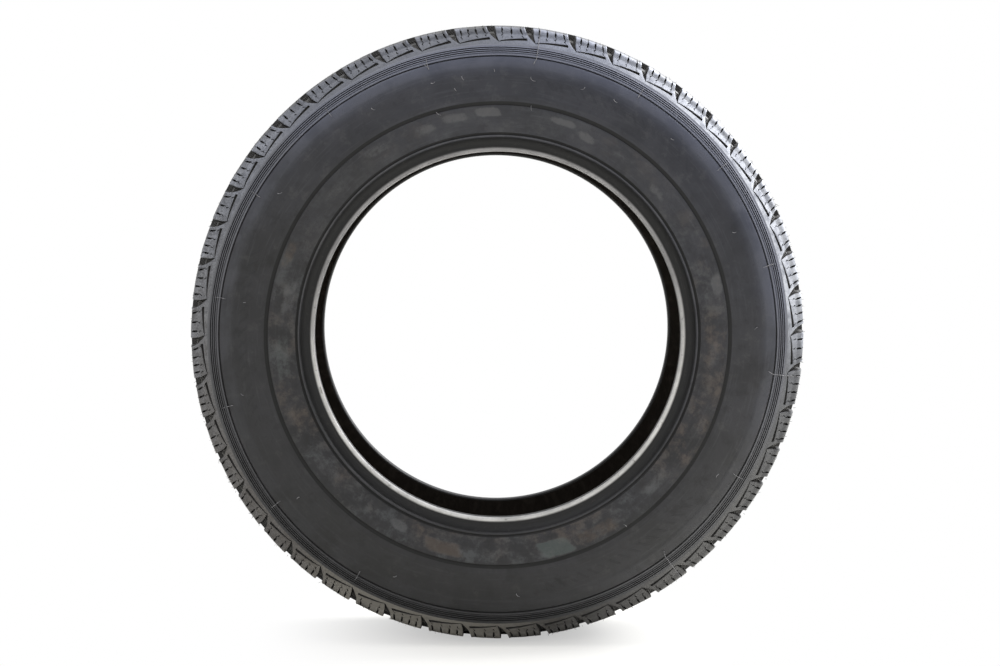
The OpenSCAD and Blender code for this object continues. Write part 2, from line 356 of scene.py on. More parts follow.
def shoulder(side):
    """Outer third of the tread, from the main groove's middle over the corner to the plain band.

    Lateral grooves narrow to a point and swing clockwise on the way down the side, sipes open into
    short mouths under the corner and run on as zigzag hairlines, and a wedge slot undercuts each
    block's foot.
    """
    w_top = np.linspace(MAIN_GROOVE_AT, HALF_TREAD - CORNER_R / 2, 160)
    down = np.linspace(WALL_TOP_R, SPLIT_R, 120)
    land = Outline(np.concatenate([
        np.stack([crown_r(w_top), w_top], 1)[:-1],
        arc(WALL_TOP_R, WALL_TOP_W - CORNER_R, CORNER_R, 0, 90, 40),
        np.stack([down, wall_w(down)], 1)[1:],
    ]))
    corner_v = HALF_TREAD - CORNER_R / 2 - MAIN_GROOVE_AT
    side_v = corner_v + CORNER_R * math.pi / 2
    end_v = land.v[-1]
    slot_v = float(np.interp(-(NOTCH_TIP_R + 0.4), -down, np.linspace(side_v, end_v, len(down))))
    tip_v = slot_v + 0.8

    edge_v = MAIN_GROOVE_W / 2
    top = np.linspace(edge_v + 0.9, corner_v, 26)
    bend = np.linspace(corner_v, side_v, 8)[1:]
    face = np.linspace(side_v, slot_v - 1.6, 10)[1:]
    rows = [(0, 0, 0, 0), (edge_v - 1, 0, 0, 0), (edge_v, 0, 0, 0)]
    rows += [(x, 0, 0, 0) for x in np.concatenate([top, bend])]
    rows += [(x, (x - side_v) / (slot_v - 1.6 - side_v), 0, 0) for x in face]
    rows += [(slot_v, 1, -1.5, 0), (slot_v, 1, -1, 0), (slot_v + 0.05, 1, -0.7, 1)]
    rows += [(slot_v + 0.1, 1, 0.8, 1), (slot_v + 0.15, 1, 1.0, 0), (slot_v + 0.4, 0.8, 1.1, 0)]
    rows += [(slot_v + 1.2, 0.35, 0.5, 0), (end_v - 0.9, 0, 0, 0), (end_v, 0, 0, 0)]
    v0, weight, h_mult, floor = np.array(rows).T[:, :, None]

    columns = tread_columns(SHIFT[side], True)
    f = columns[5]
    along = np.clip(f / SLOT_END, 0, 1)
    after = np.clip((1 - f) / (1 - SLOT_END), 0, 1)
    climb = np.where(f > SLOT_END, smooth(after, 0, 1), along)
    half_h = SLOT_START_H / 2 + (SLOT_H / 2 - SLOT_START_H / 2) * along
    half_h = np.where(f > SLOT_END, 0.25, half_h) * np.where(f > 0, 1, 0.5)
    cut = SLOT_START_DEPTH + (SLOT_DEPTH - SLOT_START_DEPTH) * along
    cut = np.where((f > 0.02) & (f < SLOT_END), cut, 0)
    v = np.clip(v0 - SLOT_RISE * climb * weight + h_mult * half_h, 0, end_v)

    low = smooth(v, corner_v, tip_v)
    narrowing = np.clip((tip_v - v) / (tip_v - side_v + 4), 0, 1)
    half_groove = np.maximum(NOTCH_W / 2 * narrowing ** 0.75, 0.1)
    centre = NOTCH_SWING / OUTER_R * np.clip((v - corner_v) / (tip_v - corner_v), 0, 1) ** 2.0
    depth = TREAD_DEPTH * narrowing ** 0.7
    u = v - 1.5 * columns[10]
    mouth = smooth(u, corner_v + 4.5, corner_v + 5.7) * (1 - smooth(u, side_v - 1, side_v + 0.4))
    pit = smooth(u, side_v + 2, side_v + 2.8) * (1 - smooth(u, side_v + 4, side_v + 5))
    below = smooth(v, side_v - 0.5, side_v + 1)
    fade = 1 - smooth(v, slot_v - 4.2, slot_v - 2)
    sipe_half = SIPE_HALF_W + 0.6 * mouth + 0.32 * pit
    sipe_depth = (SIPE_DEPTH * (1 - below) * (1 - 0.3 * mouth) + 0.3 * below) * fade + pit
    zigzag = 0.9 * zigzag_wave(v) * (1 - mouth) * fade
    zigzag = zigzag - 2 * np.clip((v - side_v) / (slot_v - side_v), 0, 1) ** 1.3
    t, d = tread_grid(columns, v, half_groove, centre, depth, sipe_half, sipe_depth, zigzag, 1.0)

    trough = np.array([TREAD_DEPTH, TREAD_DEPTH, 0.35] + [0] * (len(rows) - 3))[:, None]
    heel_toe = HEEL_TOE_WEAR * columns[5] * (1 - low)
    worn = (columns[9] + heel_toe) * (1 - low) * (d < 0.3)
    d = np.maximum(np.maximum(d, trough), floor * cut) + worn
    r, w, nr, nw = land.at(v)
    land_r = r.copy()
    r, w = r - nr * d, w - nw * d
    t, r = press_flat(t, r, land_r)

    liner = np.linspace(LINER_EDGE_R - 10, LINER_EDGE_R, 5)
    inner_r = np.concatenate([liner, np.linspace(LINER_EDGE_R, LINER_R, 4)[1:]])
    inner_w = np.concatenate([liner_w(liner), np.linspace(LINER_EDGE_W, LINER_SPLIT_W, 4)[1:]])
    index = np.array([0] * len(rows) + [1] * len(inner_r))
    marks = tread_marks(columns, d, low, len(inner_r))
    return *close_inside(t, r, w, inner_r, inner_w), index, marks


def crown(side):
    """Middle of the tread on one side: blocks cut by leaning grooves and zigzag sipes."""
    w_top = np.linspace(0, MAIN_GROOVE_AT, 200)
    land = Outline(np.stack([crown_r(w_top), w_top], 1))
    first, last = CENTRE_GROOVE_W / 2, MAIN_GROOVE_AT - MAIN_GROOVE_W / 2
    between = np.linspace(first + 0.8, last - 0.8, 24)
    v = np.concatenate([[0, first - 1, first], between, [last, last + 1, MAIN_GROOVE_AT]])[:, None]
    edge = [TREAD_DEPTH, TREAD_DEPTH, 0.35]
    trough = np.array(edge + [0] * len(between) + edge[::-1])[:, None]
    columns = tread_columns(SHIFT[side], False)
    half_groove = LEAN_GROOVE_W / 2 * math.hypot(1, LEAN) + 0 * v
    centre = (v - MAIN_GROOVE_AT / 2) * LEAN / OUTER_R
    inside = smooth(v, first + 2, first + 4) * (1 - smooth(v, last - 4, last - 2))
    zigzag = 0.8 * zigzag_wave(v) * inside
    t, d = tread_grid(columns, v, half_groove, centre, TREAD_DEPTH - 0.5,
                      SIPE_HALF_W, SIPE_DEPTH * inside, zigzag, 0.0)
    d = np.maximum(d, trough) + (columns[9] + 0.1) * (d < 0.3) * (trough < 0.1)
    r, w, nr, nw = land.at(v + 0 * d)
    land_r = r.copy()
    r, w = r - nr * d, w - nw * d
    t, r = press_flat(t, r, land_r)
    inner_w = np.array([LINER_SPLIT_W, MAIN_GROOVE_AT / 2, 0])
    inner_r = np.full(len(inner_w), LINER_R)
    index = np.array([0] * len(v) + [1] * len(inner_w))
    marks = tread_marks(columns, d, 0, len(inner_w))
    return *close_inside(t, r, w, inner_r, inner_w), index, marks


# ---------------------------------------------------------------- sidewall and bead
def wall_section():
    """Sidewall from the plain band down to the bead, round it and back up the liner.

    Returns the points, the material of the strip that starts at each (0 sidewall, 1 bead, 2 liner),
    and how far each stands proud of the plain wall.
    """
    def ridge(r, width, high):
        """A ridge round the wall, or a groove where high is negative."""
        steps = ((2, 0), (6, high), (-6, high), (-2, 0))
        return [(r + width / part, rise) for part, rise in steps]

    outer = [(SPLIT_R, 0), (RIB_TOP_R + 0.6, 0), (RIB_TOP_R, -0.15)]
    for i in range(RIB_COUNT):
        r = RIB_TOP_R - i * RIB_PITCH
        # The line under the lowest rib is worn away
        deep = 0.5 if i < RIB_COUNT - 1 else 0.05
        outer += [(r - 0.35, 0.1), (r - 0.8, 0.45), (r - 1.2, 0.45)]
        outer += [(r - 1.6, -deep), (r - 2.3, -deep)]
    outer += [(RIB_FOOT_R - 0.6, 0.45), (RIB_FOOT_R - 1.9, 0.45)]
    outer += ridge(RIB_FOOT_R - 3, 1.8, -0.7)
    outer += [(r, 0) for r in np.linspace(RIB_FOOT_R - 5.5, STEP_R + 2, 5)]
    outer += [(STEP_R, 0), (STEP_R - 0.8, -STEP_DEPTH)]
    outer += [(r, -STEP_DEPTH) for r in np.linspace(STEP_R - 2.5, BAND_TOP_R + 9.6, 14)]
    outer += [(BAND_TOP_R + 8.4, -0.1), (BAND_TOP_R + 7.4, -0.1)]
    outer += [(BAND_TOP_R + 6.2, -STEP_DEPTH), (BAND_TOP_R + 2.8, -STEP_DEPTH)]
    outer += [(BAND_TOP_R + 0.8, -1.0), (BAND_TOP_R - 0.8, -1.0), (BAND_TOP_R - 2.3, 0.1)]
    outer += [(r, 0.1) for r in np.linspace(BAND_TOP_R - 3.8, BAND_FOOT_R + 3.2, 18)]
    outer += [(BAND_FOOT_R + 1.6, 0)]
    outer += ridge(BAND_FOOT_R, 2.9, -1.1) + ridge(BAND_FOOT_R - 2.4, 1.8, 0.3)
    outer = np.array(outer)
    points = np.stack([outer[:, 0], wall_w(outer[:, 0]) + outer[:, 1]], 1)
    k = np.linspace(0.08, 1, 7)
    hollow_r = FLANGE_R + (BEAD_R + HEEL_R + 2 - FLANGE_R) * k
    hollow = np.stack([hollow_r, HEEL_W + (wall_w(FLANGE_R) - HEEL_W) * (1 - k) ** 2.2], 1)
    bead = np.concatenate([
        arc(BEAD_R + HEEL_R, HEEL_W - HEEL_R, HEEL_R, 90, 180, 7),
        [[BEAD_R, TOE_W + TOE_R + 5]],
        arc(BEAD_R + TOE_R, TOE_W + TOE_R, TOE_R, 180, 270, 4),
    ])
    up = np.concatenate([
        np.linspace(BEAD_R + TOE_R, FULL_R, 10)[1:],
        np.linspace(FULL_R, LINER_EDGE_R - 10, 8)[1:],
    ])
    liner = np.stack([up, liner_w(up)], 1)
    index = np.concatenate([
        np.zeros(len(points)), np.ones(len(hollow) + len(bead) - 1), np.full(len(liner) + 1, 2)])
    index[-1] = 0
    relief = np.concatenate([outer[:, 1], np.zeros(len(index) - len(outer))])
    return np.concatenate([points, hollow, bead, liner]), index.astype(int), relief[:, None]


def ease_box(x, half, edge):
    """1 within half of 0, falling to 0 over edge."""
    return 1 - smooth(np.abs(x), half - edge / 2, half + edge / 2)


def wrapped(angle):
    """The same angle between -180 and 180 degrees."""
    return (angle + 180) % 360 - 180


def from_flat(t):
    """Degrees between a direction and the middle of the flat spot."""
    return np.abs(wrapped(np.degrees(t) - 180))


# How far on the back half's patches and hairs lie, in degrees
BACK_PATCH_TURN = 123
BACK_HAIR_TURN = 67

# Rubbed, stained and repaired-looking patches in the band over the bead: place in degrees
# clockwise and mm from the axle, half length in degrees, half height in mm, how pale, how brown
PATCHES = (
    (-2.5, 228, 3.4, 4.5, 0.8, 0.0), (-11, 226, 3.2, 5.0, 0.6, 0.1),
    (-19, 223, 3.0, 5.0, 0.55, 0.1), (4.5, 218, 2.4, 3.0, 0.4, 0.0),
    (17, 227, 3.6, 3.5, 0.75, 0.1), (24, 221, 2.4, 4.5, 0.7, 0.0),
    (34, 221, 3.0, 4.0, 0.35, 0.1), (48, 218, 3.0, 4.5, 0.5, 0.1),
    (60, 230, 3.6, 4.0, 0.35, 0.1), (77, 229, 2.8, 5.5, 0.7, 0.1),
    (95, 222, 4.0, 6.5, 0.4, 0.1), (114, 224, 5.0, 7.0, 0.35, 0.0),
    (133, 221, 5.0, 7.0, 0.4, 0.2), (153, 225, 6.0, 7.5, 0.45, 1.0),
    (165, 225, 4.4, 8.5, 0.85, -0.5), (180, 222, 4.5, 4.0, 0.35, 0.2),
    (195, 224, 5.4, 7.5, 0.65, 0.6), (207.5, 219, 2.6, 5.0, 0.7, -0.2),
    (232, 222, 6.0, 7.0, 0.4, 0.0), (250, 226, 3.0, 6.0, 0.4, 0.3),
    (264.5, 221, 6.0, 7.5, 0.45, -0.3), (280.5, 217, 4.6, 7.0, 0.48, 0.1),
    (292, 228, 4.2, 6.0, 0.45, 0.7), (312, 221, 4.0, 6.0, 0.4, 0.2),
    (327, 226, 3.6, 6.0, 0.45, 0.1), (340, 220, 2.6, 4.0, 0.4, 0.0),
)


def patch_marks(side, t, r):
    """How pale and how brown the patches make each point: the strongest of the slanted rounded
    boxes in angle and radius, and the sum of their tints. The back half has them elsewhere."""
    degrees = np.degrees(t) - (BACK_PATCH_TURN if side > 0 else 0)
    pale, brown = np.zeros_like(r), np.zeros_like(r)
    for angle, radius, half_a, half_r, strength, tint in PATCHES:
        along = wrapped(degrees - angle + 0.12 * (r - radius))
        box = ease_box(along, half_a, 3.4) * ease_box(r - radius - 1, half_r, 6)
        box = box * (np.abs(along) < 60)
        pale = np.maximum(pale, strength * box)
        brown += tint * box
    return pale, brown


def sidewall(side, cols=820):
    """The section turned round the axle, with slow waves of a few tenths of a millimetre."""
    points, index, relief = wall_section()
    t = np.linspace(0, TAU, cols, endpoint=False)[None, :] + 0 * points[:, :1]
    r = points[:, :1] + 0 * t
    w = points[:, 1:] + 0 * t
    outer = (index < 1)[:, None] * smooth(SPLIT_R - r, 3, 12) * smooth(r, FLANGE_R, FLANGE_R + 10)
    slow = np.sin(3 * t + 0.7) * 0.3 + np.sin(7 * t + r / 9) * 0.12 + np.sin(17 * t - r / 5) * 0.06
    w = w + outer * (slow - 0.5)
    pale, brown = patch_marks(side, t, r)
    on = (index < 1)[:, None]
    # The lettering zone as a whole lies low, which is no groove
    zone = STEP_DEPTH * ((points[:, :1] < STEP_R) & (points[:, :1] > BAND_TOP_R + 2))
    marks = {"pale": pale * on, "brown": brown * on,
             "deep": np.maximum(-relief - zone, 0), "proud": np.maximum(relief, 0)}
    return t, r, w, index, marks


def on_wall(t, r, lift, side):
    """A point standing lift above the sidewall, as x, y, z in mm."""
    return np.stack([r * np.sin(t), side * (wall_w(r) + lift), r * np.cos(t)], -1)


# Curled vent hairs on the sidewall: degrees clockwise, mm from the axle, heading in degrees from
# clockwise towards the tread, length and turn in degrees along it
HAIRS = (
    (7.1, 267, -100, 8, 110), (19.1, 270, -60, 7, -120), (25.9, 269.5, -75, 6, 100),
    (-15.4, 237, -80, 6, 60), (8.1, 237.5, -90, 7, 30), (-8, 267.5, -95, 5, 50),
    (-0.8, 269.5, 80, 3, 40), (-14.9, 267, -50, 5, 90), (-10, 257, -85, 4, 30),
    (-15.2, 288, -80, 7, 40), (41, 268, -20, 4, 60), (66, 262, 30, 4, 70),
    (88, 266, -90, 4, 60), (122, 268, -60, 5, 90), (146, 236.5, -90, 4, 40),
    (176, 266, 90, 5, 80), (203, 268, 70, 4, -60), (231, 262, 40, 4, 80),
    (257, 267, 90, 4, -70), (277.7, 260, 80, 3, 40), (303, 268, -80, 5, 70),
    (331, 266, -100, 5, 90),
)


def vent_hairs(side):
    """Thin rubber hairs left by the mould's vents: a path that turns steadily as it goes,
    x' = cos(heading + turn s), r' = sin(heading + turn s), in the sidewall's face."""
    table = np.array(HAIRS, float)
    if side > 0:
        table[:, 0] += BACK_HAIR_TURN
    t0, r0, heading, length, turn = (c[:, None] for c in table.T)
    s = np.linspace(0, 1, 10)[None, :]
    way = np.radians(heading + turn * s)
    step = np.concatenate([[[0.0]], np.diff(s, axis=1)], 1)
    dx = np.cumsum(length * np.cos(way) * step, 1)
    r = r0 + np.cumsum(length * np.sin(way) * step, 1)
    t = np.radians(t0) + dx / r
    lift = -1.3 + 1.2 * smooth(s, 0, 0.3) - 0.2 * s
    path = on_wall(t, r, lift, side)
    up = np.broadcast_to(np.array([0.0, side, 0.0]), path.shape)
    thick = 0.4 - 0.22 * s
    strands("vent_hairs_" + WORD[side], path, up, thick, 6, hair_rubber)


def over_shoulder(from_w, to_r, n):
    """Points of the outline over the tread's corner: from w = from_w on the crown down to
    r = to_r on the sidewall, with the way out of the rubber at each."""
    w_top = np.linspace(from_w, HALF_TREAD - CORNER_R / 2, 6)
    down = np.linspace(WALL_TOP_R, to_r, n)
    line = Outline(np.concatenate([
        np.stack([crown_r(w_top), w_top], 1)[:-1],
        arc(WALL_TOP_R, WALL_TOP_W - CORNER_R, CORNER_R, 0, 90, 8),
        np.stack([down, wall_w(down)], 1)[1:],
    ]))
    return line.p, line.n


# Fins of flash: how many, which of them are still long, and where the first stands, in degrees
FLASH_COUNT = 16
LONG_FLASH = (0, 4, 6)
FLASH_START = 7.9
# A long one starts this far from the tread's middle and ends at this radius, and a short one keeps
# this part of its points. The last radius turns a bend in mm into an angle.
FLASH_TOP_W = 68
FLASH_FOOT_R = 279.5
SHORT_PART = slice(-12, -1)
FLASH_BEND_R = 290
# How near the middle of the flat spot no flash and no shreds stand, in degrees
FLASH_CLEAR = 20
SHREDS_CLEAR = 9


def mould_flash(side):
    """Thin fins of rubber where the mould's sectors met: a few still long, the others worn
    short, and none by the flat spot."""
    long_p, long_n = over_shoulder(FLASH_TOP_W, FLASH_FOOT_R, 26)
    runs = {"long": [], "short": []}
    for k in range(FLASH_COUNT):
        long = k in LONG_FLASH
        p, n = (long_p, long_n) if long else (long_p[SHORT_PART], long_n[SHORT_PART])
        t = math.radians(FLASH_START + 360 / FLASH_COUNT * k) + SHIFT[side]
        s = np.linspace(0, 1, len(p))
        bend = t + (0.2 * np.sin(5 * s + k) - 2.2 * smooth(s, 0.86, 1) * long) / FLASH_BEND_R
        high = 0.16 * smooth(s, 0.0, 0.05) + 0.1
        r, w = p[:, 0] + n[:, 0] * high, p[:, 1] + n[:, 1] * high
        path = np.stack([r * np.sin(bend), side * w, r * np.cos(bend)], -1)
        up = np.stack([n[:, 0] * math.sin(t), side * n[:, 1], n[:, 0] * math.cos(t)], -1)
        if from_flat(t) > FLASH_CLEAR:
            runs["long" if long else "short"].append((path, up))
    for label, thick in (("long", 0.34), ("short", 0.28)):
        path, up = (np.stack(parts) for parts in zip(*runs[label]))
        strands(f"flash_{label}_{WORD[side]}", path, up, thick, 4, hair_rubber, 1.3)


def feathers(side, count=300):
    """Shreds of worn rubber along the tread's shoulder: short tapered hairs that lean at random."""
    t = rng.uniform(0, TAU, count)[:, None]
    t = t[from_flat(t)[:, 0] > SHREDS_CLEAR]
    n = len(t)
    w0 = rng.uniform(66, 78.5, (n, 1))
    s = np.linspace(0, 1, 5)[None, :]
    long = rng.gamma(2.2, 0.5, (n, 1)).clip(0.5, 2.2)
    lean_t, lean_w = rng.normal(0, 0.7, (2, n, 1))
    curl = rng.normal(0, 0.5, (n, 1))
    r = crown_r(w0) - 0.7 + (long + 0.7) * s
    w = w0 + lean_w * long * s
    t = t + (lean_t * s + curl * s * s) * long / OUTER_R
    path = np.stack([r * np.sin(t), side * w, r * np.cos(t)], -1)
    up = np.broadcast_to(np.array([0.0, side, 0.0]), path.shape)
    thick = (0.3 - 0.2 * s) * rng.uniform(0.7, 1.2, (n, 1))
    strands("feathers_" + WORD[side], path, up, thick, 3, feather_rubber)


# ---------------------------------------------------------------- materials
def linear(code):
    """An sRGB hex colour as the linear colour that shaders use."""
    c = np.array([int(code[i:i + 2], 16) for i in (1, 3, 5)]) / 255
    c = np.where(c <= 0.04045, c / 12.92, ((c + 0.055) / 1.055) ** 2.4)
    return (*c, 1.0)


def node(tree, kind, *inputs, named=None, out=None, **settings):
    """Adds a shader node and returns an output, the first in use unless out names another.

    Inputs are numbers, colours or sockets for the inputs in use, in their order, where None leaves
    one as it is. Named ones come in a dict, and settings are the node's own properties.
    """
    n = tree.nodes.new("ShaderNode" + kind)
    for key, value in settings.items():
        setattr(n, key, value)
    pairs = list(zip([s for s in n.inputs if s.enabled], inputs))
    pairs += [(n.inputs[key], value) for key, value in (named or {}).items()]
    for socket, value in pairs:
        if isinstance(value, bpy.types.NodeSocket):
            tree.links.new(value, socket)
        elif value is not None:
            socket.default_value = value
    return n.outputs[out] if out else next((s for s in n.outputs if s.enabled), None)


# Settings that many nodes share
ADD = {"operation": "ADD"}
SUBTRACT = {"operation": "SUBTRACT"}
MULTIPLY = {"operation": "MULTIPLY"}
MULTIPLY_ADD = {"operation": "MULTIPLY_ADD"}
SINE = {"operation": "SINE"}
EASE = {"interpolation_type": "SMOOTHSTEP"}
COLOUR = {"data_type": "RGBA"}


class Ring:
    """A material's tree with the tyre's own coordinates in metres: place, height z, distance from
    the axle r, the direction round the tyre and the angle. add(kind, ...) adds a node to it."""

    def __init__(self, name):
        self.material = bpy.data.materials.new(name)
        self.material.use_nodes = True
        tree = self.material.node_tree
        tree.nodes.clear()
        self.add = add = functools.partial(node, tree)
        self.place = add("TexCoord", out="Object")
        self.x, self.y, self.z = add("SeparateXYZ", self.place).node.outputs
        flat = add("CombineXYZ", self.x, None, self.z)
        self.r = add("VectorMath", flat, operation="LENGTH")
        way = add("VectorMath", flat, operation="NORMALIZE")
        self.way_x, _, self.way_z = add("SeparateXYZ", way).node.outputs
        self.angle = add("Math", self.x, self.z, operation="ARCTAN2")

    def marks(self, *names):
        """The values that the mesh carries under these names."""
        return [self.add("Attribute", attribute_name=name, out="Fac") for name in names]

    def round_vector(self, across, along):
        """Coordinates that run fast across the section and slowly round the tyre, seamless."""
        over, = self.marks("across")
        return self.add("CombineXYZ", self.add("Math", over, across, **MULTIPLY),
                        self.add("Math", self.way_x, along, **MULTIPLY),
                        self.add("Math", self.way_z, along, **MULTIPLY))

    def sector(self, centre, inner, outer):
        """1 within inner degrees of a direction, clockwise from the top, and 0 from outer on."""
        c, inner, outer = (math.radians(a) for a in (centre, inner, outer))
        near = self.add("Math", self.way_z, math.cos(c), **MULTIPLY)
        near = self.add("Math", self.way_x, math.sin(c), near, **MULTIPLY_ADD)
        return self.add("MapRange", near, math.cos(outer), math.cos(inner), **EASE)

    def finish(self, colour, roughness, height, depth_mm, specular=0.5):
        """The shader: rubber with a bump whose height of 1 stands depth_mm off the surface."""
        bump = self.add("Bump", named={"Strength": 1.0, "Distance": depth_mm * MM,
                                       "Height": height})
        shader = self.add("BsdfPrincipled", named={
            "Base Color": colour, "Roughness": roughness, "Specular IOR Level": specular,
            "Normal": bump})
        self.add("OutputMaterial", shader)
        return self.material


def weather_and_sheen(ring, colour, bloom_and_sheen, bloom_and_sheen_colour, darker_below, darker_below_colour):
    """A bluish tint towards the top, most at the upper right, partly a bloom of wax and partly
    painted sheen of the light from above; and darker towards the bottom."""
    add = ring.add
    clouds = add("TexNoise", ring.place, 9.0, 4.0, 0.6)
    height = add("Math", clouds, 0.3, add("Math", ring.x, 0.35, ring.z, **MULTIPLY_ADD),
                 **MULTIPLY_ADD)
    # Painted sheen, partly a bloom of wax: bluish towards the top and the upper right
    top = add("Math", add("MapRange", height, 0.13, 0.45, **EASE), bloom_and_sheen, **MULTIPLY)
    # Darker towards the bottom
    foot = add("MapRange", height, -0.16, 0.2, darker_below, 0.0, **EASE)
    colour = add("Mix", top, colour, linear(bloom_and_sheen_colour), **COLOUR)
    return add("Mix", foot, colour, linear(darker_below_colour), **COLOUR)


def make_tread_rubber():
    """Tread compound: carbon-black rubber moulded smooth, then ground by the road. It is matte and
    scratched round the tyre, grey with dust on the shoulders, paler where a slice is worn lower,
    and dark over the crown, which the road wipes. Its cuts are darkened with painted shade, and
    painted light and shade lie over it by height and by direction round the tyre."""
    ring = Ring("tread_rubber")
    add = ring.add
    deep, tone, low = ring.marks("deep", "tone", "low")
    grain = add("TexNoise", ring.place, 700.0, 2.0)
    mottle = add("TexNoise", ring.place, 120.0, 4.0, 0.6)
    streak = add("TexNoise", ring.round_vector(900.0, 6.0), 1.0, 3.0, 0.6)
    face = add("Math", mottle, 0.5, add("Math", streak, 0.35, **MULTIPLY), **MULTIPLY_ADD)
    # Dust lies thicker towards the top, which is partly dust and partly painted light from above
    more_towards_top = add("MapRange", ring.z, -0.24, 0.1, 0.55, 1.0, **EASE)
    # The road wipes the running surface, so dust stays mostly on the shoulders
    aside = add("MapRange", add("Math", ring.y, operation="ABSOLUTE"),
                (HALF_TREAD - 10) * MM, (HALF_TREAD - 1) * MM, **EASE)
    dust = add("Math", add("MapRange", face, 0.28, 0.6, 0.3, 0.85, **EASE), more_towards_top, **MULTIPLY)
    dust = add("Math", dust, add("MapRange", aside, 0.0, 1.0, 0.4, 1.0), **MULTIPLY)
    colour = add("Mix", dust, linear("#404042"), linear("#9497a0"), **COLOUR)
    colour = add("Mix", add("MapRange", tone, 0.0, 0.4, 0.0, 0.3, **EASE), colour,
                 linear("#a3a4a8"), **COLOUR)
    colour = add("Mix", add("MapRange", low, 0.3, 0.9, 0.0, 0.3, **EASE), colour, linear("#3c3c3e"),
                 **COLOUR)
    colour = add("Mix", add("MapRange", grain, 0.35, 0.5, 0.45, 0.0, **EASE), colour,
                 linear("#2a2a2c"), **COLOUR)
    specks = add("MapRange", add("TexNoise", ring.place, 300.0, 3.0), 0.53, 0.64, 0.0, 0.6, **EASE)
    colour = add("Mix", specks, colour, linear("#4a4b50"), **COLOUR)
    # Bluish towards the top and upper right, partly wax bloom and partly painted sheen; darker and
    # brown towards the bottom
    colour = weather_and_sheen(ring, colour, 0.3, "#8088a0", 0.5, "#41382b")
    # Painted light and shade by direction round the tyre: a pale painted highlight at the upper
    # right, where the key light falls, and painted shade below it and left of the top
    key_light_highlight = add("Math", ring.sector(58, 12, 42), add("MapRange", mottle, 0.35, 0.6, 0.2, 0.8),
                **MULTIPLY)
    colour = add("Mix", add("Math", key_light_highlight, aside, **MULTIPLY), colour, linear("#bfc2ca"), **COLOUR)
    colour = add("Mix", add("Math", ring.sector(133, 14, 52), 0.75, **MULTIPLY), colour,
                 linear("#2b2b2c"), **COLOUR)
    colour = add("Mix", add("Math", ring.sector(-20, 8, 32), 0.62, **MULTIPLY), colour,
                 linear("#3a3b3f"), **COLOUR)
    # Painted light from the floor's bounce, paler just left of the bottom
    colour = add("Mix", add("Math", ring.sector(-163, 5, 28), 0.6, **MULTIPLY), colour,
                 linear("#7d7a74"), **COLOUR)
    worn = add("MapRange", aside, 0.0, 1.0, 0.75, 0.0)
    colour = add("Mix", worn, colour, linear("#2a2a2b"), **COLOUR)
    # Cuts: dark walls as painted shade, with grey dirt packed at the bottom of the wide grooves
    colour = add("Mix", add("MapRange", deep, 0.05, 0.7, **EASE), colour, linear("#1b1a1a"),
                 **COLOUR)
    hatch = add("TexWave", ring.place, 210.0, 0.6, 1.0, wave_type="BANDS",
                bands_direction="DIAGONAL", out="Fac")
    floor = add("MapRange", deep, 2.0, 4.5, **EASE)
    packed = add("MapRange", add("Math", hatch, mottle, **ADD), 0.7, 1.3, 0.0, 0.5, **EASE)
    packed = add("Math", add("Math", floor, packed, **MULTIPLY), more_towards_top, **MULTIPLY)
    colour = add("Mix", packed, colour, linear("#4c4a49"), **COLOUR)
    rough = add("MapRange", face, 0.3, 0.6, 0.5, 0.75, **EASE)
    height = add("Math", add("Math", grain, streak, **ADD), 0.5, **MULTIPLY)
    height = add("Math", add("Math", hatch, floor, **MULTIPLY), 1.5, height, **MULTIPLY_ADD)
    return ring.finish(colour, rough, height, 0.25, 0.4)


